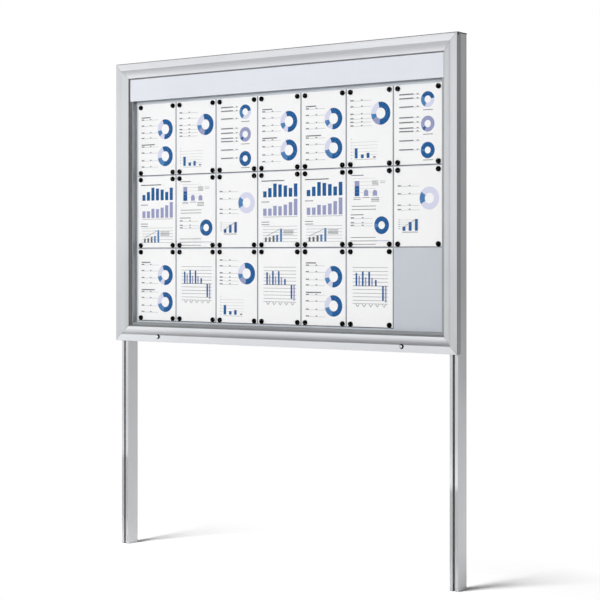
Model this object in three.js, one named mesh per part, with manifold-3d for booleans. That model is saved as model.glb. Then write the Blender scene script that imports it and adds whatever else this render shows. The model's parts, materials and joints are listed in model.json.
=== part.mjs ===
// A lockable outdoor notice board on two slotted posts.
// Millimetres, Z up. The board faces -Y, and the origin is at ground level, midway between the posts.
// Section sketches below use two measures: "in" is inboard from the outer edge of the board,
// "back" is rearwards from the front plane of the door.
import * as THREE from "three";
import { mergeVertices } from "three/addons/utils/BufferGeometryUtils.js";
import Module from "manifold-3d";

const wasm = await Module();
wasm.setup();

// Overall
const doorWidth = 1660;
const doorHeight = 1150;
const legHeight = 850;
const fitGap = 0.3;
const cutOverrun = 1;
const weldShare = 0.001;

// Door frame section
const doorFlatWidth = 27.5;
const doorFaceWidth = 61;
const coveEntryAngle = THREE.MathUtils.degToRad(29);
const coveExitAngle = THREE.MathUtils.degToRad(7);
const coveSteps = 6;
const lipNose = 0.9;
const doorSkin = 2.4;
const doorEdgeDepth = 3;
const doorEdgeRadius = 2.2;
const chamberStart = 40;
const chamberWall = 1.8;
const rebateStart = 50;
const rebateDepth = 13;
const doorDepth = 21.4;
const doorOpenAngle = THREE.MathUtils.degToRad(85);

// Glazing, its bead and the header panel
const paneThickness = 4;
const paneEdgeGap = 1.2;
const beadFaceWidth = 65.5;
const beadEdge = 1;
const headerHeight = 90;
const headerThickness = 1.4;

// Posts
const postWidth = 36;
const postDepth = 60;
const postInset = 10;
const postWall = 3;
const postCornerRadius = 2;
const slotMouth = 10;
const slotLip = 3;
const slotWidth = 21;
const slotDepth = 9;
const postRise = 4.5;
const capThickness = 4;
const capOverhang = 1.5;
const capEdge = 0.8;
const capStub = 12;

// Case frame section
const caseFrontDepth = 6.5;
const caseLipWidth = 13;
const caseWall = 2;
const caseBackDepth = 24.5;
const caseSkirtDepth = 28;
const caseCornerRadius = 1.5;
const boxGap = 7;
const boxWidth = 23.5;
const boxWall = 2.4;
const panelDepth = 44;
const rimDepth = 48;

// Back panel
const panelThickness = 1.5;
const panelEdgeGap = 0.8;

// Hinge, an interlocking pair of extrusions
const hingeInset = 2.5;
const hingeDepth = 8.8;
const socketRadius = 5;
const socketWall = 1.6;
const neckThickness = 1.8;
const hingeLeafInset = 2.9;
const hingeSeat = 9.6;
const hingeFlange = 1.3;
const hingeFlangeReach = 5.4;
const hingePocketDepth = 14.8;
const socketStartAngle = THREE.MathUtils.degToRad(16);
const socketEndAngle = THREE.MathUtils.degToRad(252);
const hingeArcSteps = 14;
const hingeCapWidth = 2;

// Door seal
const sealInset = 0.8;
const sealWidth = 3;
const sealEdge = 1;
const edgeSteps = 2;

// Locks
const lockFromEnd = 235;
const lockInset = 22;
const lockHeadRadius = 9.5;
const lockHeadHeight = 5.5;
const lockHeadBevel = 1;
const lockShankRadius = 7;
const lockNutFlats = 17.4;
const lockNutHeight = 3;
const plugRadius = 5.4;
const plugRecess = 0.6;
const keySlotWidth = 1.6;
const keySlotLength = 7;
const keySlotDepth = 2.5;
const camGap = 0.4;
const camThickness = 3;
const camWidth = 13.6;
const camReach = 19;
const camSquare = 6;
const camScrewRadius = 4.5;
const camScrewHeight = 2.2;
const roundSides = 24;

// Gas struts
const strutInset = 22;
const strutCaseDrop = 100;
const strutDoorDrop = 320;
const strutRadius = 6;
const strutEndGap = 20;
const rodRadius = 2.5;
const rodHold = 12;
const eyeRadius = 5.8;
const eyeWidth = 11;
const eyeBore = 3.4;
const studRadius = 3;
const studHeadRadius = 5;
const studHeadHeight = 1.6;
const bracketHeight = 44;
const bracketDepth = 8.6;
const bracketThickness = 2;
const openPivotGap = 0.6;
const smallSides = 16;

// Slot bolts that hold the case on the posts
const boltFromTop = 400;
const boltFromBottom = 150;
const boltRadius = 4;
const boltHoleGap = 0.4;
const boltNutFlats = 12.6;
const boltNutHeight = 6;
const boltHeadWidth = 18;
const boltHeadHeight = 14;
const boltHeadThickness = 5;

// Notice sheets and their magnets
const sheetCount = 20;
const sheetWidth = 210;
const sheetHeight = 297;
const sheetGap = 3;
const sheetMargin = 7;
const sheetThickness = 0.3;
const magnetRadius = 9.5;
const magnetHeight = 6.5;
const magnetEdge = 1;
const magnetSideInset = 17;
const magnetEndInset = 12.5;
const magnetSides = 12;

// Worked-out places
const doorTop = legHeight + doorHeight;
const halfWidth = doorWidth / 2;
const postFace = caseBackDepth + fitGap;
const postX = halfWidth - postInset - postWidth / 2;
const postHeight = doorTop + postRise - capThickness;
const boxStart = postInset + postWidth + boxGap;
const caseFaceWidth = boxStart + boxWidth;
const caseFloorDepth = caseBackDepth - caseWall;
const boardCentre = (postFace + postDepth + capOverhang - lockHeadHeight) / 2;
const lockShankLength = caseFrontDepth + caseWall + camGap;
const hingeZ = doorTop - hingeInset;
const hingeLength = doorWidth - 2 * (Math.max(hingeCapWidth, doorSkin) + fitGap);
const socketBore = socketRadius - socketWall;
const paneEdge = rebateStart + paneEdgeGap;
const paneFront = rebateDepth + fitGap;
const paneBack = paneFront + paneThickness;
const beadFront = paneBack + fitGap;
const strutDepth = caseFloorDepth - fitGap - strutRadius;
const strutClosed = strutDoorDrop - strutCaseDrop;
const strutStroke = openStrutLength() - strutClosed;

// The strut spans from its case pivot to the door's stud, which swings up with the door.
function openStrutLength() {
  const back = strutDepth - hingeDepth;
  const openBack = back * Math.cos(doorOpenAngle) - strutDoorDrop * Math.sin(doorOpenAngle);
  const openDrop = back * Math.sin(doorOpenAngle) + strutDoorDrop * Math.cos(doorOpenAngle);
  return Math.hypot(openBack - back, openDrop - strutCaseDrop);
}

// Finishes
const finish = (color, metalness, roughness) =>
  new THREE.MeshStandardMaterial({ color, metalness, roughness });
const anodised = finish(0xd4d6d9, 0.9, 0.42);
const caseAnodised = finish(0x9fa3a8, 0.9, 0.45);
const postAnodised = finish(0xc2c4c6, 0.9, 0.45);
const coatedSteel = finish(0xbec6cf, 0.1, 0.5);
const sealRubber = finish(0x2a2b2d, 0, 0.8);
const beadRubber = finish(0x77797c, 0, 0.7);
const blackPlastic = finish(0x303134, 0, 0.5);
const headerWhite = finish(0xe2e5ee, 0, 0.4);
const paper = finish(0xf8f9fa, 0, 0.8);
const chromed = finish(0xdcdee0, 1, 0.2);
const zincSteel = finish(0xb4b6b8, 0.9, 0.4);
const strutBlack = finish(0x202124, 0.3, 0.4);
const clearGlass = new THREE.MeshStandardMaterial({
  color: 0xeef4f4,
  roughness: 0.05,
  transparent: true,
  opacity: 0.2,
});

// Shape helpers
const point = (a, b) => new THREE.Vector2(a, b);

function solidFrom(geometry) {
  const bare = geometry.index ? geometry.toNonIndexed() : geometry.clone();
  bare.deleteAttribute("normal");
  bare.deleteAttribute("uv");
  const merged = mergeVertices(bare, fitGap * weldShare);
  const mesh = new wasm.Mesh({
    numProp: 3,
    vertProperties: merged.attributes.position.array,
    triVerts: new Uint32Array(merged.index.array),
  });
  return new wasm.Manifold(mesh);
}

function geometryFrom(solid) {
  const mesh = solid.getMesh();
  const places = new Float32Array(mesh.numVert * 3);
  for (let i = 0; i < mesh.numVert; i++) {
    const start = i * mesh.numProp;
    places.set(mesh.vertProperties.subarray(start, start + 3), i * 3);
  }
  const geometry = new THREE.BufferGeometry();
  geometry.setAttribute("position", new THREE.BufferAttribute(places, 3));
  geometry.setIndex(new THREE.BufferAttribute(mesh.triVerts, 1));
  const flat = geometry.toNonIndexed();
  flat.computeVertexNormals();
  return flat;
}

const joined = (first, ...others) =>
  geometryFrom(others.reduce((sum, g) => sum.add(solidFrom(g)), solidFrom(first)));

const cutFrom = (first, ...tools) =>
  geometryFrom(tools.reduce((left, g) => left.subtract(solidFrom(g)), solidFrom(first)));

function arcPoints(centreX, centreY, radius, start, end, steps) {
  const points = [];
  for (let i = 0; i <= steps; i++) {
    const angle = start + ((end - start) * i) / steps;
    points.push(point(centreX + radius * Math.cos(angle), centreY + radius * Math.sin(angle)));
  }
  return points;
}

function shapeOf(outline, hollows = []) {
  const shape = new THREE.Shape(outline);
  hollows.forEach((hollow) => shape.holes.push(new THREE.Path(hollow)));
  return shape;
}

const rectangle = (left, right, low, high) => [
  point(left, low),
  point(right, low),
  point(right, high),
  point(left, high),
];

// An outline drawn out along Z to the height, with its edges rounded off by the edge size if any.
function drawnOut(shape, height, edge, steps) {
  if (!edge) return new THREE.ExtrudeGeometry(shape, { depth: height, bevelEnabled: false });
  const slab = new THREE.ExtrudeGeometry(shape, {
    depth: height - 2 * edge,
    bevelThickness: edge,
    bevelSize: edge,
    bevelOffset: -edge,
    bevelSegments: steps,
  });
  return slab.translate(0, 0, edge);
}

// A flat plate whose outline is drawn in X and Z, between two depths.
function plate(shape, front, back, edge = 0, steps = 1) {
  const slab = drawnOut(shape, back - front, edge, steps);
  slab.rotateX(Math.PI / 2);
  slab.translate(0, back, 0);
  return slab;
}

// A plain block between two depths.
const block = (left, right, front, back, low, high) =>
  plate(shapeOf(rectangle(left, right, low, high)), front, back);

// A turned piece on a Y axis: pairs of radius and depth, from the front to the back.
function turned(profile, sides) {
  return new THREE.LatheGeometry(
    profile.map(([radius, depth]) => point(radius, depth)),
    sides,
  );
}

// A straight length of section along X, its outer edge at z = 0 and facing up.
function bar(outline, hollows, length) {
  const straight = new THREE.ExtrudeGeometry(shapeOf(outline, hollows), {
    depth: length,
    bevelEnabled: false,
  });
  straight.translate(0, 0, -length / 2);
  straight.rotateY(Math.PI / 2);
  return straight;
}

// The same, with both ends cut back at 45 degrees for a mitred corner.
function mitredBar(outline, hollows, length) {
  const mitred = bar(outline, hollows, length);
  const places = mitred.getAttribute("position");
  for (let i = 0; i < places.count; i++) {
    const end = length / 2 + places.getZ(i) - fitGap;
    places.setX(i, places.getX(i) > 0 ? end : -end);
  }
  mitred.computeVertexNormals();
  return mitred;
}

// The whole board hangs in this group, with the door's front plane at y = 0 in it.
const board = new THREE.Group();
board.position.set(0, -boardCentre, 0);

function add(name, geometry, material, x = 0, y = 0, z = 0, turn = 0) {
  const mesh = new THREE.Mesh(geometry, material);
  mesh.name = name;
  mesh.position.set(x, y, z);
  mesh.rotation.y = turn;
  board.add(mesh);
  return mesh;
}

// Where each side of a frame goes: its length, its place and its turn about Y.
const frameSides = {
  top: { length: doorWidth, x: 0, z: doorTop, turn: 0 },
  right: { length: doorHeight, x: halfWidth, z: legHeight + doorHeight / 2, turn: Math.PI / 2 },
  bottom: { length: doorWidth, x: 0, z: legHeight, turn: Math.PI },
  left: { length: doorHeight, x: -halfWidth, z: legHeight + doorHeight / 2, turn: -Math.PI / 2 },
};
const frameNames = {
  top: "rail_top",
  right: "stile_right",
  bottom: "rail_bottom",
  left: "stile_left",
};

// Door frame: a flat outer band, a cove down to a thin lip, a chamber for the corner cleats
// and a rebate for the pane.
function covePoints(offset) {
  const run = doorFaceWidth - lipNose - doorFlatWidth;
  const drop = run * Math.tan((coveEntryAngle + coveExitAngle) / 2);
  const chord = Math.hypot(run, drop);
  const radius = chord / (2 * Math.sin((coveEntryAngle - coveExitAngle) / 2));
  const centreIn = doorFlatWidth + radius * Math.sin(coveEntryAngle);
  const centreBack = -radius * Math.cos(coveEntryAngle);
  const points = [];
  for (let i = 0; i <= coveSteps; i++) {
    const slope = coveEntryAngle + ((coveExitAngle - coveEntryAngle) * i) / coveSteps;
    const reach = radius + offset;
    points.push(point(centreIn - reach * Math.sin(slope), centreBack + reach * Math.cos(slope)));
  }
  return points;
}

function doorSection() {
  const cove = covePoints(0);
  const lipTop = cove[cove.length - 1];
  const inner = covePoints(doorSkin).filter((p) => p.x < chamberStart);
  const skinAt = (place) => {
    const points = covePoints(doorSkin);
    const next = points.findIndex((p) => p.x > place);
    const a = points[next - 1];
    const b = points[next];
    return a.y + ((b.y - a.y) * (place - a.x)) / (b.x - a.x);
  };
  const outline = [
    point(0, doorEdgeDepth),
    ...arcPoints(doorEdgeRadius, doorEdgeRadius, doorEdgeRadius, Math.PI, 1.5 * Math.PI, 3),
    ...cove,
    point(doorFaceWidth, lipTop.y + lipNose),
    point(doorFaceWidth, rebateDepth),
    point(rebateStart, rebateDepth),
    point(rebateStart, doorDepth),
    point(chamberStart, doorDepth),
    point(chamberStart, skinAt(chamberStart)),
    ...inner.reverse(),
    point(doorSkin, doorSkin),
    point(doorSkin, doorEdgeDepth),
  ];
  const hollow = [
    point(chamberStart + chamberWall, skinAt(chamberStart + chamberWall)),
    point(rebateStart - chamberWall, skinAt(rebateStart - chamberWall)),
    point(rebateStart - chamberWall, doorDepth - chamberWall),
    point(chamberStart + chamberWall, doorDepth - chamberWall),
  ];
  return { outline, hollows: [hollow] };
}

function addDoorFrame() {
  const { outline, hollows } = doorSection();
  for (const [side, seat] of Object.entries(frameSides)) {
    let geometry = mitredBar(outline, hollows, seat.length);
    if (side === "bottom") {
      const hole = turned(
        [
          [0, -cutOverrun],
          [lockShankRadius + fitGap, -cutOverrun],
          [lockShankRadius + fitGap, doorSkin + cutOverrun],
          [0, doorSkin + cutOverrun],
        ],
        roundSides,
      );
      const lockPlaces = [-1, 1].map((hand) =>
        hole.clone().translate(hand * (halfWidth - lockFromEnd), 0, -lockInset),
      );
      geometry = cutFrom(geometry, ...lockPlaces);
    }
    add("door_" + frameNames[side], geometry, anodised, seat.x, 0, seat.z, seat.turn);
  }
}

// The outline of a rectangular ring, from its insets at the sides and its inset at the top.
function ringShape(inset, topInset, width) {
  const box = (side, top) =>
    rectangle(-halfWidth + side, halfWidth - side, legHeight + side, doorTop - top);
  return shapeOf(box(inset, topInset), [box(inset + width, topInset + width)]);
}

function addGlazing() {
  const inset = paneEdge;
  const pane = block(
    -halfWidth + inset,
    halfWidth - inset,
    paneFront,
    paneBack,
    legHeight + inset,
    doorTop - inset,
  );
  add("glazing_pane", pane, clearGlass);
  const beadShape = ringShape(paneEdge, paneEdge, beadFaceWidth - paneEdge);
  add("glazing_bead", plate(beadShape, beadFront, doorDepth, beadEdge), beadRubber);
  const headerInset = beadFaceWidth + fitGap;
  const header = block(
    -halfWidth + headerInset,
    halfWidth - headerInset,
    beadFront,
    beadFront + headerThickness,
    doorTop - headerInset - headerHeight,
    doorTop - headerInset,
  );
  add("header_panel", header, headerWhite);
}

// Case frame: an open channel that the door closes, a lip for the seal, and a box behind it
// that stands between the posts and carries the back panel.
function caseSection(frontPoints, wallEnd) {
  const r = caseCornerRadius;
  const skirt = [point(caseWall, wallEnd), point(caseWall, caseBackDepth)];
  const outline = [
    ...frontPoints,
    ...arcPoints(r, wallEnd - r, r, Math.PI, Math.PI / 2, 2),
    ...(wallEnd > caseBackDepth ? skirt : []),
    point(boxStart, caseBackDepth),
    point(boxStart, rimDepth),
    point(boxStart + caseWall, rimDepth),
    point(boxStart + caseWall, panelDepth),
    point(caseFaceWidth, panelDepth),
    point(caseFaceWidth, caseFloorDepth),
    point(caseWall, caseFloorDepth),
  ];
  const hollow = rectangle(
    boxStart + boxWall,
    caseFaceWidth - boxWall,
    caseFloorDepth + boxWall,
    panelDepth - boxWall,
  );
  return { outline, hollows: [hollow] };
}

// The stiles' outer wall runs on past the floor as a skirt that shades the gap to the posts.
function plainCaseSection(wallEnd) {
  const r = caseCornerRadius;
  const lip = [
    point(caseLipWidth, caseFrontDepth),
    ...arcPoints(r, caseFrontDepth + r, r, 1.5 * Math.PI, Math.PI, 2),
  ];
  const section = caseSection(lip, wallEnd);
  section.outline.push(
    point(caseWall, caseFrontDepth + caseWall),
    point(caseLipWidth, caseFrontDepth + caseWall),
  );
  return section;
}

// Along the top the channel's outer wall steps inwards, to make a seat for the hinge.
function hingeCaseSection() {
  const step = [
    point(caseLipWidth, caseFrontDepth),
    point(hingeSeat, caseFrontDepth),
    point(hingeSeat, hingePocketDepth),
    point(0, hingePocketDepth),
  ];
  const section = caseSection(step, caseBackDepth);
  section.outline.push(
    point(caseWall, hingePocketDepth + caseWall),
    point(hingeSeat + caseWall, hingePocketDepth + caseWall),
    point(hingeSeat + caseWall, caseFrontDepth + caseWall),
    point(caseLipWidth, caseFrontDepth + caseWall),
  );
  return section;
}

// Bolt holes through the floor of a side channel, in the standing board's own places.
function boltHoles(hand) {
  const hole = turned(
    [
      [0, caseFloorDepth - cutOverrun],
      [boltRadius + boltHoleGap, caseFloorDepth - cutOverrun],
      [boltRadius + boltHoleGap, caseBackDepth + cutOverrun],
      [0, caseBackDepth + cutOverrun],
    ],
    smallSides,
  );
  return boltHeights().map((height) => hole.clone().translate(hand * postX, 0, height));
}

const boltHeights = () => [legHeight + boltFromBottom, doorTop - boltFromTop];

function addCaseFrame() {
  for (const [side, seat] of Object.entries(frameSides)) {
    const isStile = side === "left" || side === "right";
    const wallEnd = isStile ? caseSkirtDepth : caseBackDepth;
    const section = side === "top" ? hingeCaseSection() : plainCaseSection(wallEnd);
    let geometry = mitredBar(section.outline, section.hollows, seat.length);
    if (isStile) {
      geometry.rotateY(seat.turn);
      geometry.translate(seat.x, 0, seat.z);
      const hand = Math.sign(seat.x);
      const pocket = block(
        -halfWidth - cutOverrun,
        halfWidth + cutOverrun,
        0,
        hingePocketDepth,
        doorTop - hingeSeat - fitGap,
        doorTop + cutOverrun,
      );
      geometry = cutFrom(geometry, pocket, ...boltHoles(hand));
      add("case_" + frameNames[side], geometry, caseAnodised);
    } else {
      add("case_" + frameNames[side], geometry, caseAnodised, seat.x, 0, seat.z, seat.turn);
    }
  }
}

function addBackPanel() {
  const inset = boxStart + caseWall + panelEdgeGap;
  const front = panelDepth + fitGap;
  const panel = block(
    -halfWidth + inset,
    halfWidth - inset,
    front,
    front + panelThickness,
    legHeight + inset,
    doorTop - inset,
  );
  add("back_panel", panel, coatedSteel);
}

// Hinge: a round bead on the case that a C-shaped socket on the door turns about.
// Angles run from the back, up over the top and down the front.
const hingeArc = (radius, start, end) =>
  arcPoints(hingeDepth, -hingeInset, radius, start, end, hingeArcSteps).map((p) =>
    point(-p.y, p.x),
  );

function socketOutline() {
  const leafFront = doorSkin + fitGap;
  const leafEnd = hingeInset + socketRadius;
  const outer = hingeArc(socketRadius, socketStartAngle, Math.PI);
  const inner = hingeArc(socketBore, socketEndAngle, socketStartAngle);
  const toe = hingeArc(socketRadius, socketEndAngle, socketEndAngle)[0];
  return [
    ...outer,
    point(hingeLeafInset, leafFront),
    point(leafEnd, leafFront),
    point(leafEnd, toe.y),
    ...inner,
  ];
}

function beadOutline() {
  const beadRadius = socketBore - fitGap;
  const neckHalf = neckThickness / 2;
  const neckAngle = Math.asin(neckHalf / beadRadius);
  const flangeTop = hingeSeat - fitGap - hingeFlange;
  const flangeBottom = hingeSeat - fitGap;
  return [
    ...hingeArc(beadRadius, -Math.PI / 2 + neckAngle, 1.5 * Math.PI - neckAngle),
    point(flangeBottom, hingeDepth - neckHalf),
    point(flangeBottom, hingeDepth + hingeFlangeReach),
    point(flangeTop, hingeDepth + hingeFlangeReach),
    point(flangeTop, hingeDepth + neckHalf),
  ];
}

// Moulded plugs close the hinge's ends, flush with the sides of the case.
function hingeCapOutline() {
  const frontArc = hingeArc(socketRadius, Math.PI / 2, Math.PI);
  const seat = hingeSeat - fitGap - hingeFlange;
  return [
    ...frontArc,
    point(seat, hingeDepth - socketRadius),
    point(seat, hingePocketDepth - fitGap),
    point(-fitGap, hingePocketDepth - fitGap),
    point(-fitGap, caseSkirtDepth),
    point(hingeInset - socketRadius, caseSkirtDepth),
  ];
}

function addHinge() {
  add("hinge_bead_rail", bar(beadOutline(), [], hingeLength), caseAnodised, 0, 0, doorTop);
  add("hinge_socket_rail", bar(socketOutline(), [], hingeLength), anodised, 0, 0, doorTop);
  for (const [name, hand] of [
    ["left", -1],
    ["right", 1],
  ]) {
    const cap = bar(hingeCapOutline(), [], hingeCapWidth);
    add("hinge_cap_" + name, cap, blackPlastic, hand * (halfWidth - hingeCapWidth / 2), 0, doorTop);
  }
}

// The seal stands on the case's lip, under the door's outer edge. Along the top it passes
// below the hinge's seat.
function addSeal() {
  const front = doorEdgeDepth + fitGap;
  const back = caseFrontDepth - fitGap;
  const shape = ringShape(sealInset, hingeSeat + fitGap, sealWidth);
  add("door_seal", plate(shape, front, back, sealEdge, edgeSteps), sealRubber);
}

// Posts: a hollow extrusion with a T-slot down the front and a moulded cap.
// The outline is clockwise from the left front corner, larger than the post by the overhang.
function postCorners(overhang) {
  const half = postWidth / 2 + overhang;
  const front = -overhang;
  const back = postDepth + overhang;
  const r = postCornerRadius + overhang;
  return [
    ...arcPoints(-half + r, front + r, r, 1.5 * Math.PI, Math.PI, 2),
    ...arcPoints(-half + r, back - r, r, Math.PI, Math.PI / 2, 2),
    ...arcPoints(half - r, back - r, r, Math.PI / 2, 0, 2),
    ...arcPoints(half - r, front + r, r, 0, -Math.PI / 2, 2),
  ];
}

function postOutline() {
  const mouth = slotMouth / 2;
  const slot = slotWidth / 2;
  return [
    point(-mouth, slotLip),
    point(-mouth, 0),
    ...postCorners(0),
    point(mouth, 0),
    point(mouth, slotLip),
    point(slot, slotLip),
    point(slot, slotLip + slotDepth),
    point(-slot, slotLip + slotDepth),
    point(-slot, slotLip),
  ];
}

const postHollow = (gap) =>
  rectangle(
    -postWidth / 2 + postWall + gap,
    postWidth / 2 - postWall - gap,
    slotLip + slotDepth + postWall + gap,
    postDepth - postWall - gap,
  );

function addPosts() {
  const post = drawnOut(shapeOf(postOutline(), [postHollow(0)]), postHeight);
  const lidPlate = drawnOut(shapeOf(postCorners(capOverhang)), capThickness - fitGap, capEdge, 1);
  const stub = drawnOut(shapeOf(postHollow(fitGap)), capStub + capThickness / 2);
  lidPlate.translate(0, 0, fitGap);
  stub.translate(0, 0, -capStub);
  const cap = joined(lidPlate, stub);
  for (const [name, hand] of [
    ["left", -1],
    ["right", 1],
  ]) {
    add("post_" + name, post, postAnodised, hand * postX, postFace, 0);
    add("post_cap_" + name, cap, blackPlastic, hand * postX, postFace, postHeight);
  }
}

// A hexagon with flats at its top and bottom.
function hexagon(flats) {
  const corner = flats / Math.sqrt(3);
  return arcPoints(0, 0, corner, 0, (5 / 3) * Math.PI, 5);
}

// Hammer-head bolts slide in the T-slots and draw the case onto the posts.
function addSlotBolts() {
  const nutBack = caseFloorDepth - fitGap;
  const nut = plate(shapeOf(hexagon(boltNutFlats)), nutBack - boltNutHeight, nutBack);
  const headFront = postFace + slotLip + fitGap;
  const head = block(
    -boltHeadWidth / 2,
    boltHeadWidth / 2,
    headFront,
    headFront + boltHeadThickness,
    -boltHeadHeight / 2,
    boltHeadHeight / 2,
  );
  const tip = nutBack - boltNutHeight - boltRadius / 2;
  const shank = turned(
    [
      [0, tip],
      [boltRadius, tip],
      [boltRadius, headFront + boltHeadThickness / 2],
      [0, headFront + boltHeadThickness / 2],
    ],
    smallSides,
  );
  const bolt = joined(head, shank, nut);
  for (const [name, hand] of [
    ["left", -1],
    ["right", 1],
  ]) {
    const [low, high] = boltHeights();
    add("slot_bolt_lower_" + name, bolt, zincSteel, hand * postX, 0, low);
    add("slot_bolt_upper_" + name, bolt, zincSteel, hand * postX, 0, high);
  }
}

// Cam locks in the bottom rail. At rest they are unlocked, with the cam lying along the rail.
function lockBody() {
  const head = turned(
    [
      [plugRadius + fitGap, -lockHeadHeight],
      [lockHeadRadius - lockHeadBevel, -lockHeadHeight],
      [lockHeadRadius, -lockHeadHeight + lockHeadBevel],
      [lockHeadRadius, -fitGap],
      [lockShankRadius, -fitGap],
      [lockShankRadius, lockShankLength],
      [plugRadius + fitGap, lockShankLength],
      [plugRadius + fitGap, -lockHeadHeight],
    ],
    roundSides,
  );
  // The nut clears the underside of the cove, which starts within its width.
  const nutReach = Math.max(lockInset + lockNutFlats / 2 - doorFlatWidth, 0);
  const skinBack = doorSkin / Math.cos(coveEntryAngle) + nutReach * Math.tan(coveEntryAngle);
  const nutFront = skinBack + fitGap;
  const nut = plate(shapeOf(hexagon(lockNutFlats)), nutFront, nutFront + lockNutHeight);
  const bore = turned(
    [
      [0, -lockHeadHeight - cutOverrun],
      [plugRadius + fitGap, -lockHeadHeight - cutOverrun],
      [plugRadius + fitGap, lockShankLength + cutOverrun],
      [0, lockShankLength + cutOverrun],
    ],
    roundSides,
  );
  return cutFrom(joined(head, nut), bore);
}

function lockPlug() {
  const front = -lockHeadHeight + plugRecess;
  const squareEnd = lockShankLength + fitGap + camThickness;
  const barrel = turned(
    [
      [0, front],
      [plugRadius, front],
      [plugRadius, lockShankLength],
      [0, lockShankLength],
    ],
    roundSides,
  );
  const half = camSquare / 2;
  const square = block(-half, half, lockShankLength - cutOverrun, squareEnd, -half, half);
  const screw = turned(
    [
      [0, squareEnd - cutOverrun],
      [half, squareEnd - cutOverrun],
      [half, squareEnd + fitGap],
      [camScrewRadius, squareEnd + fitGap],
      [camScrewRadius, squareEnd + fitGap + camScrewHeight],
      [0, squareEnd + fitGap + camScrewHeight],
    ],
    smallSides,
  );
  const slot = block(
    -keySlotWidth / 2,
    keySlotWidth / 2,
    front - cutOverrun,
    front + keySlotDepth,
    -keySlotLength / 2,
    keySlotLength / 2,
  );
  return cutFrom(joined(barrel, square, screw), slot);
}

function lockCam() {
  const half = camWidth / 2;
  const outline = [
    ...arcPoints(0, 0, half, Math.PI / 2, 1.5 * Math.PI, 8),
    point(camReach - half / 2, -half),
    point(camReach, -half / 2),
    point(camReach, half / 2),
    point(camReach - half / 2, half),
  ];
  const hole = camSquare / 2 + fitGap;
  const front = lockShankLength + fitGap;
  return plate(shapeOf(outline, [rectangle(-hole, hole, -hole, hole)]), front, front + camThickness);
}

function addLocks() {
  const body = lockBody();
  const plug = lockPlug();
  const cam = lockCam();
  for (const [name, hand] of [
    ["left", -1],
    ["right", 1],
  ]) {
    const x = hand * (halfWidth - lockFromEnd);
    const z = legHeight + lockInset;
    add("lock_body_" + name, body, chromed, x, 0, z);
    add("lock_plug_" + name, plug, chromed, x, 0, z);
    add("lock_cam_" + name, cam, zincSteel, x, 0, z);
  }
}

// Gas struts in the side channels, upright at rest. The case end turns on its stud.
// The door end is the open pivot of the linkage, so its eye lies just beside the door's stud.
function acrossX(radius, left, right, sides) {
  const pin = new THREE.CylinderGeometry(radius, radius, right - left, sides);
  pin.rotateZ(Math.PI / 2);
  pin.translate((left + right) / 2, 0, 0);
  return pin;
}

function uprightPin(radius, low, high, sides) {
  const pin = new THREE.CylinderGeometry(radius, radius, high - low, sides);
  pin.rotateX(Math.PI / 2);
  pin.translate(0, 0, (low + high) / 2);
  return pin;
}

function strutCylinder(rodTop) {
  const low = -(strutClosed - strutEndGap);
  const high = -eyeRadius - fitGap;
  const tube = uprightPin(strutRadius, low, high, smallSides);
  const neck = uprightPin(rodRadius + fitGap, high - cutOverrun, -eyeBore - fitGap, smallSides);
  const eye = acrossX(eyeRadius, -eyeWidth / 2, eyeWidth / 2, smallSides);
  const bore = acrossX(eyeBore, -eyeWidth, eyeWidth, smallSides);
  const rodBore = uprightPin(rodRadius + fitGap, low - cutOverrun, rodTop + fitGap, smallSides);
  return cutFrom(joined(tube, neck, eye), bore, rodBore);
}

function strutRod(rodTop) {
  const eyeZ = -strutClosed;
  const rod = uprightPin(rodRadius, eyeZ + eyeBore + fitGap, rodTop, smallSides);
  const eye = acrossX(eyeRadius, -eyeWidth / 2, eyeWidth / 2, smallSides).translate(0, 0, eyeZ);
  const bore = acrossX(eyeBore, -eyeWidth, eyeWidth, smallSides).translate(0, 0, eyeZ);
  return cutFrom(joined(rod, eye), bore);
}

function addStruts() {
  const rodTop = -(strutClosed - strutEndGap) + strutStroke + rodHold;
  const cylinder = strutCylinder(rodTop);
  const rod = strutRod(rodTop);
  const caseZ = hingeZ - strutCaseDrop;
  const doorZ = hingeZ - strutDoorDrop;
  for (const [name, hand] of [
    ["left", -1],
    ["right", 1],
  ]) {
    const x = hand * (halfWidth - strutInset);
    add("strut_cylinder_" + name, cylinder, strutBlack, x, strutDepth, caseZ);
    add("strut_rod_" + name, rod, chromed, x, strutDepth, caseZ);
    // Seen from the strut, the case wall is outboard and the door's chamber is inboard.
    const wall = hand * (strutInset - caseWall - fitGap);
    const headStart = -hand * (eyeWidth / 2 + fitGap);
    const headEnd = headStart - hand * studHeadHeight;
    const pin = acrossX(studRadius, Math.min(wall, headEnd), Math.max(wall, headEnd), smallSides);
    const head = acrossX(
      studHeadRadius,
      Math.min(headStart, headEnd),
      Math.max(headStart, headEnd),
      smallSides,
    );
    add("strut_case_stud_" + name, joined(pin, head), zincSteel, x, strutDepth, caseZ);
    const plateBack = -hand * (chamberStart - strutInset - fitGap);
    const plateFace = plateBack + hand * bracketThickness;
    const studTip = -hand * (eyeWidth / 2 + openPivotGap);
    const flat = block(
      Math.min(plateBack, plateFace),
      Math.max(plateBack, plateFace),
      -bracketDepth / 2,
      bracketDepth / 2,
      -bracketHeight / 2,
      bracketHeight / 2,
    );
    const stud = acrossX(
      studRadius,
      Math.min(plateBack, studTip) + (hand < 0 ? 0 : bracketThickness / 2),
      Math.max(plateBack, studTip) - (hand < 0 ? bracketThickness / 2 : 0),
      smallSides,
    );
    add("strut_door_bracket_" + name, joined(flat, stud), zincSteel, x, strutDepth, doorZ);
  }
}

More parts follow.
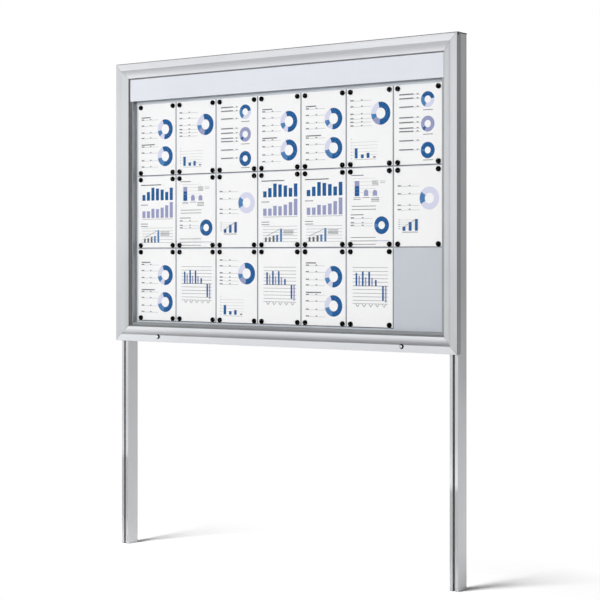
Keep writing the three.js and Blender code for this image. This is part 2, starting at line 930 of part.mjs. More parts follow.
// Notice sheets, each with the four magnets that hold it on the back panel.
function sheetWithMagnets() {
  const back = panelDepth;
  const front = back - sheetThickness;
  const sheet = block(
    -sheetWidth / 2,
    sheetWidth / 2,
    front,
    back,
    -sheetHeight / 2,
    sheetHeight / 2,
  );
  const magnet = turned(
    [
      [0, front - magnetHeight],
      [magnetRadius - magnetEdge, front - magnetHeight],
      [magnetRadius, front - magnetHeight + magnetEdge],
      [magnetRadius, front + sheetThickness / 2],
      [0, front + sheetThickness / 2],
    ],
    magnetSides,
  );
  const side = sheetWidth / 2 - magnetSideInset;
  const end = sheetHeight / 2 - magnetEndInset;
  const magnets = [-side, side].flatMap((x) =>
    [-end, end].map((z) => magnet.clone().translate(x, 0, z)),
  );
  return joined(sheet, ...magnets);
}

// They hang in rows from the top left, as many across and down as the panel has room for.
function addSheets() {
  const sheet = sheetWithMagnets();
  const pitchX = sheetWidth + sheetGap;
  const pitchZ = sheetHeight + sheetGap;
  const roomAcross = doorWidth - 2 * caseFaceWidth;
  const roomDown = doorHeight - 2 * caseFaceWidth - sheetMargin;
  const columns = Math.floor((roomAcross + sheetGap) / pitchX);
  const rows = Math.floor((roomDown + sheetGap) / pitchZ);
  const bottom = legHeight + caseFaceWidth + sheetMargin + sheetHeight / 2;
  for (let i = 0; i < Math.min(sheetCount, columns * rows); i++) {
    const row = Math.floor(i / columns);
    const column = i % columns;
    const x = (column - (columns - 1) / 2) * pitchX;
    const z = bottom + (rows - 1 - row) * pitchZ;
    add("sheet_r" + (row + 1) + "_c" + (column + 1), sheet, paper, x, 0, z);
  }
}

addPosts();
addCaseFrame();
addBackPanel();
addSlotBolts();
addSeal();
addHinge();
addDoorFrame();
addGlazing();
addLocks();
addStruts();
addSheets();

export default board;
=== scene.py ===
import json
import math

import bmesh
import bpy
from mathutils import Matrix, Vector


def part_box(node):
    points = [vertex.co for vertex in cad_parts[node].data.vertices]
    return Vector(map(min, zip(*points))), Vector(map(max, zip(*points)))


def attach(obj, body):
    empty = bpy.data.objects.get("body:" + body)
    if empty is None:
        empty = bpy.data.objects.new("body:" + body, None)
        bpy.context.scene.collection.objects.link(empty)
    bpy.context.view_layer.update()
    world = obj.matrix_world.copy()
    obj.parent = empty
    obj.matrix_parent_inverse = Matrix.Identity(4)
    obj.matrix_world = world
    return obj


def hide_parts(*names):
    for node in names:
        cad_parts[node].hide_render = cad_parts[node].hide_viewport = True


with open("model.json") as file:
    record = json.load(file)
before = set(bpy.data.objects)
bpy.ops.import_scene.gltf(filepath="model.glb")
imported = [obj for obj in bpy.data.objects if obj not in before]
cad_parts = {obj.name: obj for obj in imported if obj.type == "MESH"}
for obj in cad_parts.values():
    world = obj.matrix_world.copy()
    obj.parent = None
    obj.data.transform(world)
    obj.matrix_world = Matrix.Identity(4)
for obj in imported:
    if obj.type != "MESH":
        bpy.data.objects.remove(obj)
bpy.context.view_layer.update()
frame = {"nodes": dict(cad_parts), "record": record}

mm = 0.001
nodes = frame["nodes"]
record = frame["record"]
slotOf = {part["node"]: part["material_slot"] for part in record["subparts"]}
bodyOf = {
    node: body
    for body, members in record["behaviour"]["bodies"].items()
    for node in members
}
print("frame loaded,", len(nodes), "nodes")


def addObject(name, data):
    made = bpy.data.objects.new(name, data)
    bpy.context.scene.collection.objects.link(made)
    return made


def meshFrom(name, bm):
    mesh = bpy.data.meshes.new(name)
    bm.to_mesh(mesh)
    bm.free()
    return mesh


# Camera, level, with its view shifted down to where the photographed board stands.
camera = {
    "azimuth": 36.9,  # degrees to the right of straight in front
    "place": (3.812, -4.94175, 1.202),
    "focalPixels": 1604.5,
    "imagePixels": 600,
    "horizonPixel": 256,  # down from the top of the photograph
    "sensor": 36.0,
    "clipEnd": 100,
}


def makeCamera():
    pixels = camera["imagePixels"]
    data = bpy.data.cameras.new("camera")
    data.sensor_width = camera["sensor"]
    data.lens = camera["focalPixels"] / pixels * camera["sensor"]
    data.shift_y = (camera["horizonPixel"] - pixels / 2) / pixels
    data.clip_end = camera["clipEnd"]
    holder = addObject("camera", data)
    holder.location = camera["place"]
    holder.rotation_euler = (math.pi / 2, 0, math.radians(camera["azimuth"]))
    bpy.context.scene.camera = holder


makeCamera()
print("camera set")


# Materials. Their colours are written as sRGB hex values.
def linear(hexColor):
    channels = [int(hexColor[i:i + 2], 16) / 255 for i in (0, 2, 4)]
    return [c / 12.92 if c <= 0.04045 else ((c + 0.055) / 1.055) ** 2.4 for c in channels] + [1.0]


def addNode(tree, kind, settings=None, inputs=None):
    node = tree.nodes.new(kind)
    for name, value in (settings or {}).items():
        setattr(node, name, value)
    for name, value in (inputs or {}).items():
        if isinstance(value, bpy.types.NodeSocket):
            tree.links.new(value, node.inputs[name])
        else:
            node.inputs[name].default_value = value
    return node


def newMaterial(name):
    material = bpy.data.materials.new(name)
    material.use_nodes = True
    material.node_tree.nodes.clear()
    return material, material.node_tree


# Every pattern is noise, and its size is that of one patch in millimetres.
noise = {
    "detail": 3.0,
    "roughness": 0.5,
    "low": 0.3,  # nearly all of the noise lies between low and high
    "high": 0.7,
}

# Extruded aluminium, etched and anodised: a satin grey metal whose faint die lines along its
# length spread each highlight across them. The lines are drawn coarser than real ones, so that
# they show.
anodisedAluminium = {
    "cloud": 350,
    "grain": 1.6,
    "grainRun": 900,
    "grainDetail": 2.0,
    "grainDepth": 0.01,
    "roughnessSpread": 0.04,
    "shader": {"Metallic": 1.0, "Anisotropic": 0.35},
}

# Stove enamelled steel sheet: smooth and slightly soft, with a faint orange peel.
stoveEnamel = {"cloud": 500, "grain": 2.5, "grainDepth": 0.02}

# Extruded rubber: dull, with a pebbled skin that breaks the highlight up.
extrudedRubber = {"grain": 0.8, "grainDepth": 0.032, "roughnessSpread": 0.05}

# Moulded plastic: the fine spark-eroded grain of its mould.
mouldedPlastic = {"grain": 0.6, "grainDepth": 0.024, "roughnessSpread": 0.05}

# The same for the magnets and the black sides of the lock heads, whose black gives back hardly any
# light.
deepBlackPlastic = {**mouldedPlastic, "shader": {"Specular IOR Level": 0.04}}
blackSidePlastic = {**mouldedPlastic, "shader": {"Specular IOR Level": 0.1}}

# Spray-painted steel tube: half gloss, with the soft ripple of thick paint.
tubePaint = {"grain": 1.2, "grainDepth": 0.048, "roughnessSpread": 0.05}

# Coated paper: nearly white, matt, with a hardly visible fibre cloud.
coatedPaper = {"grain": 1.2, "grainDetail": 4.0}

# Laser print toner on the paper: an even tone with hardly any sheen.
laserToner = {"grain": 0.9, "shader": {"Specular IOR Level": 0.2}}

# Plated metal: chrome is mirror bright, zinc is duller and slightly blue.
platedMetal = {"grain": 4, "roughnessSpread": 0.03, "shader": {"Metallic": 1.0}}

# Clear toughened pane: next to nothing but a thin reflection.
toughenedGlass = {
    "tint": "101614",
    "opacity": 0.04,
    "smear": 250,
    "roughness": (0.03, 0.06),
}


def acrossGrain(tree, along):
    # The direction in the surface that is square to the die lines.
    lean = 0.01  # gives the cut ends such a direction too
    axis = [lean, lean, lean]
    axis["XYZ".index(along)] = 1.0
    turned = addNode(
        tree,
        "ShaderNodeVectorTransform",
        {"vector_type": "VECTOR", "convert_from": "OBJECT", "convert_to": "WORLD"},
        {"Vector": axis},
    )
    surface = addNode(tree, "ShaderNodeNewGeometry")
    across = addNode(
        tree,
        "ShaderNodeVectorMath",
        {"operation": "CROSS_PRODUCT"},
        {0: surface.outputs["Normal"], 1: turned.outputs[0]},
    )
    return across.outputs[0]


def makeFinish(name, finish, dark, light, roughness, along=None):
    # The cloud varies the colour. The grain varies the roughness and the height, and where a
    # finish has no cloud, the colour too.
    material, tree = newMaterial(name)
    place = addNode(tree, "ShaderNodeTexCoord")
    patches = {"grain": [finish["grain"]] * 3}
    if "cloud" in finish:
        patches["cloud"] = [finish["cloud"]] * 3
    if along:
        patches["grain"]["XYZ".index(along)] = finish["grainRun"]
    patterns = {}
    for pattern, sizes in patches.items():
        scaled = addNode(
            tree,
            "ShaderNodeMapping",
            inputs={
                "Vector": place.outputs["Object"],
                "Scale": [1 / (size * mm) for size in sizes],
            },
        )
        drawn = addNode(
            tree,
            "ShaderNodeTexNoise",
            inputs={
                "Vector": scaled.outputs[0],
                "Scale": 1.0,
                "Detail": finish.get(pattern + "Detail", noise["detail"]),
                "Roughness": noise["roughness"],
            },
        )
        patterns[pattern] = drawn.outputs[0]
    noiseRange = {"From Min": noise["low"], "From Max": noise["high"]}
    share = addNode(
        tree,
        "ShaderNodeMapRange",
        inputs={"Value": patterns.get("cloud", patterns["grain"]), **noiseRange},
    )
    color = addNode(
        tree,
        "ShaderNodeMix",
        {"data_type": "RGBA"},
        {0: share.outputs[0], 6: linear(dark), 7: linear(light)},
    )
    values = {
        "Base Color": color.outputs[2],
        "Roughness": roughness,
        **finish.get("shader", {}),
    }
    if "roughnessSpread" in finish:
        spread = addNode(
            tree,
            "ShaderNodeMapRange",
            inputs={
                "Value": patterns["grain"],
                **noiseRange,
                "To Min": roughness - finish["roughnessSpread"],
                "To Max": roughness + finish["roughnessSpread"],
            },
        )
        values["Roughness"] = spread.outputs[0]
    if "grainDepth" in finish:
        bump = addNode(
            tree,
            "ShaderNodeBump",
            inputs={
                "Height": patterns["grain"],
                "Distance": finish["grainDepth"] * mm,
                "Strength": 1.0,
            },
        )
        values["Normal"] = bump.outputs[0]
    if along:
        values["Tangent"] = acrossGrain(tree, along)
    shader = addNode(tree, "ShaderNodeBsdfPrincipled", inputs=values)
    addNode(tree, "ShaderNodeOutputMaterial", inputs={"Surface": shader.outputs[0]})
    return material


def makePane(name, finish):
    material, tree = newMaterial(name)
    place = addNode(tree, "ShaderNodeTexCoord")
    smear = addNode(
        tree,
        "ShaderNodeTexNoise",
        inputs={
            "Vector": place.outputs["Object"],
            "Scale": 1 / (finish["smear"] * mm),
            "Detail": noise["detail"],
            "Roughness": noise["roughness"],
        },
    )
    wiped = addNode(
        tree,
        "ShaderNodeMapRange",
        inputs={
            "Value": smear.outputs[0],
            "From Min": noise["low"],
            "From Max": noise["high"],
            "To Min": finish["roughness"][0],
            "To Max": finish["roughness"][1],
        },
    )
    shader = addNode(
        tree,
        "ShaderNodeBsdfPrincipled",
        inputs={
            "Base Color": linear(finish["tint"]),
            "Roughness": wiped.outputs[0],
            "Alpha": finish["opacity"],
        },
    )
    addNode(tree, "ShaderNodeOutputMaterial", inputs={"Surface": shader.outputs[0]})
    material.surface_render_method = "BLENDED"
    return material


# The door's rails are painted lighter than its stiles: a painted reflection of the brighter studio
# that the rails give back.
litDoorRail = makeFinish("satinAnodisedLitRail", anodisedAluminium, "cbcdd0", "d1d3d6", 0.38, "X")
shadedDoorStile = makeFinish("satinAnodisedShadedStile", anodisedAluminium, "b0b2b5", "b6b8ba", 0.38, "Z")
# The case's metal is painted darker than the door's, a painted shade for its sides and inner
# walls, which sit back behind the door.
shadedCaseRail = makeFinish("caseShadedRail", anodisedAluminium, "8e9092", "96989a", 0.42, "X")
shadedCaseStile = makeFinish("caseShadedStile", anodisedAluminium, "949698", "9c9ea0", 0.42, "Z")
postMetal = makeFinish("postAnodised", anodisedAluminium, "bcbdc0", "c3c4c6", 0.4, "Z")
panelEnamel = makeFinish("panelEnamel", stoveEnamel, "c2c8d0", "c8ced5", 0.42)
headerFilm = makeFinish("headerFilm", stoveEnamel, "e1e4ec", "e5e8f0", 0.42)
paneGlass = makePane("clearPane", toughenedGlass)
beadRubber = makeFinish("beadRubber", extrudedRubber, "7f8285", "878a8d", 0.7)
sealRubber = makeFinish("sealRubber", extrudedRubber, "26272a", "2d2e31", 0.8)
capPlastic = makeFinish("capPlastic", mouldedPlastic, "2c2d30", "343538", 0.55)
magnetPlastic = makeFinish("magnetPlastic", deepBlackPlastic, "020203", "040405", 0.85)
paper = makeFinish("coatedPaper", coatedPaper, "f8f8f9", "fcfcfc", 0.62)
lockChrome = makeFinish("lockChrome", platedMetal, "d6d8da", "e2e3e5", 0.16)
lockSideBlack = makeFinish("lockSideBlackPlastic", blackSidePlastic, "050506", "08080a", 0.7)
zincSteel = makeFinish("zincSteel", platedMetal, "aeb2b6", "bcc0c4", 0.34)
rodChrome = makeFinish("rodChrome", platedMetal, "d6d8da", "dfe1e3", 0.12)
strutBlack = makeFinish("strutEnamel", tubePaint, "161718", "1d1e20", 0.38)
inkDeep = makeFinish("inkDeepBlue", laserToner, "0c5592", "105a98", 0.5)
inkMid = makeFinish("inkMidBlue", laserToner, "437bb2", "4980b7", 0.5)
inkPale = makeFinish("inkPaleBlue", laserToner, "d8d9ee", "dddef1", 0.5)
inkSlate = makeFinish("inkSlateBlue", laserToner, "969bc2", "9ca1c7", 0.5)
# The grey of the text, which also prints the painted shadow along the sheets' edges.
inkTextAndShadow = makeFinish("inkGrey", laserToner, "5e6166", "64676c", 0.5)
inkFaint = makeFinish("inkFaintGrey", laserToner, "a4a7ab", "aaadb1", 0.5)

# Rails lie along X, and take their own metal where the die lines show. The door's rails are
# painted lighter than its stiles, a painted reflection, and the case's metal darker, a painted
# shade.
railFinishes = {"door_aluminium": litDoorRail, "case_aluminium": shadedCaseRail}
finishes = {
    "door_aluminium": shadedDoorStile,
    "case_aluminium": shadedCaseStile,
    "post_aluminium": postMetal,
    "coated_panel": panelEnamel,
    "header_sheet": headerFilm,
    "pane_glass": paneGlass,
    "glazing_rubber": beadRubber,
    "seal_rubber": sealRubber,
    "cap_plastic": capPlastic,
    "paper": paper,
    "lock_chrome": lockChrome,
    "zinc_steel": zincSteel,
    "strut_steel": strutBlack,
    "rod_chrome": rodChrome,
}


def finishOf(node):
    slot = slotOf[node]
    low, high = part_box(node)
    if slot in railFinishes and high.x - low.x > high.z - low.z:
        return railFinishes[slot]
    return finishes[slot]


for node, solid in nodes.items():
    solid.data.materials.clear()
    solid.data.materials.append(finishOf(node))
print("materials made")


# Making pieces
def addPiece(name, bm, materials, body, replaced):
    mesh = meshFrom(name, bm)
    for material in materials:
        mesh.materials.append(material)
    piece = addObject(name, mesh)
    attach(piece, body)
    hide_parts(*replaced)
    return piece


def shadeSmooth(bm, sharp):
    for face in bm.faces:
        face.smooth = True
    for edge in bm.edges:
        edge.smooth = edge.calc_face_angle(0) < math.radians(sharp)


# Printed notices. Their charts are laid out in millimetres from a sheet's top left corner.
notice = {
    "width": 210,
    "height": 297,
    "thickness": 0.3,
    # width of the painted shadow along each sheet's right and lower edge
    "edgeShadow": 3.4,
    "ink": 0.06,
    "inkGap": 0.02,
    "arcStep": 7,  # degrees
}

# A caption, a figure beside it, and the line that runs under both to the chart.
leader = {
    "textLift": 4.6,  # from the line to the top of the text
    "captionHeight": 3.6,
    "figureHeight": 3.4,
    "figureWidth": 8,
    "line": 1.2,
}

# The text ink also prints the painted shadow along each sheet's edge.
inks = [paper, inkDeep, inkMid, inkPale, inkSlate, inkTextAndShadow, inkFaint]
blank, deep, mid, pale, slate, textAndShadow, faint = range(len(inks))


def printPatch(bm, left, top, width, height, tone, turn=0.0):
    centre = Matrix.Translation(((left + width / 2) * mm, 0, -(top + height / 2) * mm))
    upright = Matrix.Rotation(math.pi / 2, 4, "X") @ Matrix.Rotation(turn, 4, "Z")
    sized = Matrix.Diagonal((width * mm, height * mm, 1, 1))
    made = bmesh.ops.create_grid(
        bm, x_segments=1, y_segments=1, size=0.5, matrix=centre @ upright @ sized
    )
    for face in made["verts"][0].link_faces:
        face.material_index = tone


def printStroke(bm, fromX, fromY, toX, toY, width, tone):
    length = math.hypot(toX - fromX, toY - fromY)
    turn = math.atan2(fromY - toY, toX - fromX)
    left = (fromX + toX - length) / 2
    top = (fromY + toY - width) / 2
    printPatch(bm, left, top, length, width, tone, turn)


def printArc(bm, x, y, outer, inner, start, end, tone):
    # A slice of a ring chart. Angles are in degrees, clockwise from the top.
    centre = Vector((x * mm, 0, -y * mm))
    earlier = set(bm.faces)
    ends = [bm.verts.new(centre + Vector((0, 0, reach * mm))) for reach in (inner, outer)]
    edge = bm.edges.new(ends)
    turned = Matrix.Rotation(math.radians(start), 3, "Y")
    bmesh.ops.rotate(bm, verts=ends, cent=centre, matrix=turned)
    sweep = end - start
    bmesh.ops.spin(
        bm,
        geom=[*ends, edge],
        cent=centre,
        axis=(0, 1, 0),
        angle=math.radians(sweep),
        steps=max(2, round(sweep / notice["arcStep"])),
        use_merge=sweep >= 360,
    )
    for face in set(bm.faces) - earlier:
        face.material_index = tone


def printRing(bm, x, y, outer, inner, slices):
    for start, end, tone in slices:
        printArc(bm, x, y, outer, inner, start, end, tone)


def printBars(bm, base, width, bars, tone):
    for x, height in bars:
        printPatch(bm, x - width / 2, base - height, width, height, tone)


def printRules(bm, left, right, heights, thickness, tone):
    for y in heights:
        printPatch(bm, left, y - thickness / 2, right - left, thickness, tone)


def printLeaders(bm, left, right, heights, caption=15, figureShare=0.5):
    figureLeft = left + (right - left) * figureShare
    for y in heights:
        top = y - leader["textLift"]
        printPatch(bm, left, top, caption, leader["captionHeight"], textAndShadow)
        printPatch(bm, figureLeft, top, leader["figureWidth"], leader["figureHeight"], textAndShadow)
        printRules(bm, left, right, [y], leader["line"], faint)


def printPageEdgeShadow(bm):
    # A painted shadow along the right and the lower edge of the sheet, printed as a grey band in
    # the text ink.
    width, height, shadowWidth = notice["width"], notice["height"], notice["edgeShadow"]
    printPatch(bm, width - shadowWidth, 0, shadowWidth, height - shadowWidth, textAndShadow)
    printPatch(bm, 0, height - shadowWidth, width, shadowWidth, textAndShadow)


# The drawings. Rules and leaders run from a left to a right end at each height given, and a ring
# has its centre, its outer and inner radius and its slices. Bars share a base line and a width,
# and each has its middle and its height.
def twoRings(bm):
    firstSlices = [(-22, 188, deep), (188, 225, pale), (225, 262, mid), (262, 338, pale)]
    secondSlices = [(-22, 192, deep), (192, 258, mid), (258, 338, pale)]
    printRules(bm, 19, 68, [55], 4.2, textAndShadow)
    printLeaders(bm, 19, 112, [66, 91, 120, 142])
    printRing(bm, 150, 107, 41, 20.5, firstSlices)
    printRules(bm, 19, 92, [168], 4.2, textAndShadow)
    printLeaders(bm, 19, 112, [178, 203, 235, 261])
    printRing(bm, 150, 218, 41, 20.5, secondSlices)


def ringOverBars(bm):
    slices = [(-15, 188, deep), (188, 238, slate), (238, 268, mid), (268, 345, pale)]
    printLeaders(bm, 15, 112, [47, 70, 98, 115, 128, 142])
    printRing(bm, 153, 98, 43, 20.5, slices)
    printRules(bm, 25, 140, [202, 214, 226, 238, 250], 0.8, faint)
    printRules(bm, 19, 23, [190, 202, 214, 226, 238, 250, 262], 2, textAndShadow)
    printBars(bm, 262, 13, [(42, 38), (70, 14), (96, 19)], deep)
    printBars(bm, 262, 12, [(125, 5)], textAndShadow)
    printRules(bm, 34, 132, [267], 1.6, faint)


def threeRings(bm):
    heights = [38, 53, 84, 123, 141, 162, 174, 208, 241]
    printLeaders(bm, 22, 114, heights, caption=62, figureShare=0.83)
    printRing(bm, 146, 58, 29, 13.5, [(-62, 82, deep), (82, 205, pale), (205, 298, mid)])
    printRing(bm, 146, 147, 29, 13.5, [(-122, 210, slate), (210, 238, deep)])
    printRing(bm, 146, 243, 30, 12.5, [(-80, 262, deep), (262, 280, mid)])
    printRules(bm, 126, 168, [96, 185, 279], 2.4, textAndShadow)


def barBoard(bm):
    columns = [32, 57, 82, 107, 133, 158, 183]
    printRules(bm, 15, 128, [35], 4, textAndShadow)
    printBars(bm, 99, 17, zip(columns, [24, 36, 53, 49, 44, 34, 51]), deep)
    printRules(bm, 15, 54, [117], 3, textAndShadow)
    printBars(bm, 171, 17, zip(columns, [28, 28, 38, 36, 42, 51, 64]), slate)
    printRules(bm, 24, 192, [176], 2, faint)
    printRules(bm, 15, 54, [196, 206], 2.6, textAndShadow)
    printRules(bm, 22, 192, [213, 225, 237, 249, 261, 273], 1.5, faint)
    printBars(bm, 273, 10, [(37, 17), (56, 18), (75, 23)], textAndShadow)
    printBars(bm, 273, 10, [(93, 27), (112, 51)], mid)
    # A trend line over the bars.
    printStroke(bm, 37, 251, 75, 237, 1.6, textAndShadow)
    printStroke(bm, 75, 237, 112, 222, 1.6, textAndShadow)
    printRules(bm, 124, 172, [229, 234, 239, 244], 2, textAndShadow)


def mixedReport(bm):
    printRules(bm, 20, 76, [26], 3, textAndShadow)
    printRules(bm, 28, 132, [38, 51, 64, 77, 90], 0.8, faint)
    printBars(bm, 66, 21, [(46, 19)], slate)
    printBars(bm, 104, 21, [(46, 38)], deep)
    printBars(bm, 104, 20, [(87, 14), (127, 12)], slate)
    # Round tops on two of the bars.
    printArc(bm, 87, 90, 10, 0.4, -90, 90, slate)
    printArc(bm, 127, 92, 10, 0.4, -90, 90, slate)
    printRules(bm, 114, 142, [49, 54, 59, 64], 2, textAndShadow)
    printRules(bm, 150, 174, [50, 56], 2, faint)
    printRules(bm, 30, 62, [110, 116], 2, textAndShadow)
    printRules(bm, 70, 104, [110], 2, textAndShadow)
    printRules(bm, 110, 146, [112, 118, 124], 2.4, textAndShadow)
    printRules(bm, 22, 132, [142, 154], 2.2, textAndShadow)
    printRules(bm, 17, 76, [174], 3, textAndShadow)
    printLeaders(bm, 17, 118, [188, 206, 216])
    printRing(bm, 157, 214, 33, 14.5, [(-78, 250, deep), (250, 282, mid)])
    printRules(bm, 17, 130, [259, 285], 2.2, textAndShadow)
    printRules(bm, 17, 138, [272], 2.2, textAndShadow)
    printRules(bm, 138, 190, [272], 2.2, slate)


def paleRing(bm):
    printLeaders(bm, 15, 112, [73, 102, 144, 160])
    printRing(bm, 153, 118, 42, 19.5, [(-55, 240, pale), (240, 305, mid)])
    printRules(bm, 22, 110, [196, 204, 212, 220, 228], 0.8, faint)
    printRules(bm, 19, 25, [196, 204, 212, 220, 228], 2, textAndShadow)
    printBars(bm, 236, 13, [(43, 15), (70, 32), (97, 43)], deep)
    printStroke(bm, 43, 221, 97, 193, 1.6, textAndShadow)
    printRules(bm, 36, 104, [241], 2.4, textAndShadow)


def groupedBars(bm):
    printRules(bm, 26, 186, [72, 86, 99, 113, 126, 154, 168, 181, 195, 207], 1.4, textAndShadow)
    printRules(bm, 26, 186, [140.5], 2.2, textAndShadow)
    printBars(bm, 140, 8, [(43, 48), (72, 53), (101, 52), (131, 22)], deep)
    printBars(bm, 140, 7, [(56, 37), (85, 32), (114, 30)], slate)
    printPatch(bm, 159, 141, 8, 54, deep)
    printPatch(bm, 172, 141, 7, 60, slate)
    # Small pointers in a row under the chart.
    for x in (48, 78, 108, 138, 168):
        printStroke(bm, x - 8, 209, x, 219, 2, textAndShadow)
        printStroke(bm, x, 219, x + 8, 209, 2, textAndShadow)


# Which drawing hangs where, row by row from the top left. The last place is empty.
layout = [
    [twoRings, ringOverBars, threeRings, twoRings, twoRings, ringOverBars, threeRings],
    [barBoard, mixedReport, paleRing, barBoard, barBoard, mixedReport, paleRing],
    [twoRings, groupedBars, ringOverBars, groupedBars, twoRings, groupedBars],
]


def thicken(bm, flat, depth):
    # Draws flat faces forward, and leaves closed slabs that face outwards.
    others = set(bm.faces) - set(flat)
    made = bmesh.ops.extrude_face_region(bm, geom=flat)
    moved = [item for item in made["geom"] if isinstance(item, bmesh.types.BMVert)]
    bmesh.ops.translate(bm, verts=moved, vec=(0, -depth * mm, 0))
    slabs = [face for face in bm.faces if face not in others]
    bmesh.ops.recalc_face_normals(bm, faces=slabs)


def noticeMesh(drawing):
    # The ink is a thin film just in front of the paper, and the paper's back lies at y = 0.
    bm = bmesh.new()
    drawing(bm)
    printPageEdgeShadow(bm)
    thicken(bm, list(bm.faces), notice["ink"])
    lift = -(notice["thickness"] + notice["inkGap"]) * mm
    bmesh.ops.translate(bm, verts=list(bm.verts), vec=(0, lift, 0))
    printed = set(bm.faces)
    printPatch(bm, 0, 0, notice["width"], notice["height"], blank)
    sheet = [face for face in bm.faces if face not in printed]
    thicken(bm, sheet, notice["thickness"])
    return bm


def addNotices():
    drawings = {}
    for row, kinds in enumerate(layout, 1):
        for column, kind in enumerate(kinds, 1):
            if kind not in drawings:
                drawings[kind] = noticeMesh(kind)
            node = f"sheet_r{row}_c{column}"
            low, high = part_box(node)
            bm = drawings[kind].copy()
            bmesh.ops.translate(bm, verts=list(bm.verts), vec=(low.x, high.y, high.z))
            addPiece(f"notice_r{row}_c{column}", bm, inks, bodyOf[node], [node])
    for bm in drawings.values():
        bm.free()


# Round plastic magnets, one near each corner of a sheet.
magnet = {
    "radius": 9.5,
    "height": 6.5,
    "sideInset": 17,
    "endInset": 12.5,
    "edge": 1.1,
    "edgeSegments": 3,
    "sides": 28,
    "sharp": 18,  # degrees
    "weld": 0.01,
}


def magnetMesh():
    radius = magnet["radius"] * mm
    front = -magnet["height"] * mm
    weld = magnet["weld"] * mm
    bm = bmesh.new()
    outline = [(0, front), (radius, front), (radius, 0), (0, 0)]
    corners = [bm.verts.new((x, y, 0)) for x, y in outline]
    lines = [bm.edges.new(pair) for pair in zip(corners, corners[1:])]
    bmesh.ops.spin(
        bm,
        geom=corners + lines,
        cent=(0, 0, 0),
        axis=(0, 1, 0),
        angle=2 * math.pi,
        steps=magnet["sides"],
        use_merge=True,
    )
    bmesh.ops.remove_doubles(bm, verts=list(bm.verts), dist=weld)
    bmesh.ops.recalc_face_normals(bm, faces=list(bm.faces))
    frontRim = {v for v in bm.verts if v.co.y < front + weld and v.co.xz.length > radius - weld}
    bmesh.ops.bevel(
        bm,
        geom=[edge for edge in bm.edges if frontRim.issuperset(edge.verts)],
        offset=magnet["edge"] * mm,
        offset_type="OFFSET",
        affect="EDGES",
        segments=magnet["edgeSegments"],
        profile=0.5,
        material=-1,
    )
    shadeSmooth(bm, magnet["sharp"])
    return bm


def addMagnets():
    shape = meshFrom("magnetShape", magnetMesh())
    aside = magnet["sideInset"] * mm
    inward = magnet["endInset"] * mm
    for row, kinds in enumerate(layout, 1):
        for column in range(1, len(kinds) + 1):
            node = f"sheet_r{row}_c{column}"
            low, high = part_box(node)
            paperFront = high.y - notice["thickness"] * mm
            bm = bmesh.new()
            for x in (low.x + aside, high.x - aside):
                for z in (low.z + inward, high.z - inward):
                    count = len(bm.verts)
                    bm.from_mesh(shape)
                    bm.verts.ensure_lookup_table()
                    bmesh.ops.translate(bm, verts=bm.verts[count:], vec=(x, paperFront, z))
            name = f"magnets_r{row}_c{column}"
            addPiece(name, bm, [magnetPlastic], bodyOf[node], [node])
    bpy.data.meshes.remove(shape)


addNotices()
addMagnets()
print("notices and magnets made")


# Extruded, turned and moulded pieces keep their sections, with their edges broken and their
# curves smooth. Radii are in millimetres.
brokenEdges = {
    "profile": 0.35,
    "fine": 0.15,
    "segments": 2,
    "sharp": 24,  # degrees
    "flat": 0.4,  # degrees
    "weld": 0.002,
}
edgeOfSlot = {
    "door_aluminium": "profile",
    "case_aluminium": "profile",
    "post_aluminium": "profile",
    "cap_plastic": "profile",
    "lock_chrome": "fine",
    "zinc_steel": "fine",
    "strut_steel": "fine",
    "rod_chrome": "fine",
}


def finishedMesh(node, radius):
    bm = bmesh.new()
    bm.from_mesh(nodes[node].data)
    bmesh.ops.remove_doubles(bm, verts=list(bm.verts), dist=brokenEdges["weld"] * mm)
    bmesh.ops.dissolve_limit(
        bm,
        angle_limit=math.radians(brokenEdges["flat"]),
        verts=list(bm.verts),
        edges=list(bm.edges),
    )
    sharp = math.radians(brokenEdges["sharp"])
    bmesh.ops.bevel(
        bm,
        geom=[edge for edge in bm.edges if edge.calc_face_angle(0) > sharp],
        offset=radius * mm,
        offset_type="OFFSET",
        affect="EDGES",
        segments=brokenEdges["segments"],
        profile=0.5,
        material=-1,
        clamp_overlap=True,
    )
    shadeSmooth(bm, brokenEdges["sharp"])
    return bm


# A lock's head narrows towards its bright face, and its side is black.
lock = {
    "headHeight": 5.5,
    "faceShare": 0.64,
    "faceTilt": 0.8,  # a face that looks forward less than this is part of the black side
}


def shapeLock(bm):
    front = min(v.co.y for v in bm.verts)
    x = sum(v.co.x for v in bm.verts) / len(bm.verts)
    z = sum(v.co.z for v in bm.verts) / len(bm.verts)
    narrowed = [v for v in bm.verts if v.co.y < front + lock["headHeight"] / 2 * mm]
    share = lock["faceShare"]
    bmesh.ops.scale(
        bm, verts=narrowed, vec=(share, 1, share), space=Matrix.Translation((-x, 0, -z))
    )
    bm.normal_update()
    for face in bm.faces:
        inHead = face.calc_center_median().y < front + lock["headHeight"] * mm
        if inHead and abs(face.normal.y) < lock["faceTilt"]:
            face.material_index = 1


def addFinished():
    for node, slot in slotOf.items():
        if slot not in edgeOfSlot:
            continue
        bm = finishedMesh(node, brokenEdges[edgeOfSlot[slot]])
        materials = [finishOf(node)]
        if node.startswith("lock_body"):
            shapeLock(bm)
            materials.append(lockSideBlack)
        piece = addPiece(node + "_finished", bm, materials, bodyOf[node], [node])
        weighted = piece.modifiers.new("flatFaces", "WEIGHTED_NORMAL")
        weighted.keep_sharp = True


addFinished()
print("metal pieces finished")


# Stage
stage = {
    "floorSize": 14.0,
    "floorColor": "c4c4c4",
    "floorBounce": "707070",  # what the floor gives back to the object
    "foot": (0.802, 0.015, 0),  # of the right post, and mirrored of the left one
    "shadeReach": 0.66,  # how far from a foot its shadow shows on the white floor
    "fadeFrom": 0.2,  # up to here it shows in full
    "worldFill": 0.32,
}


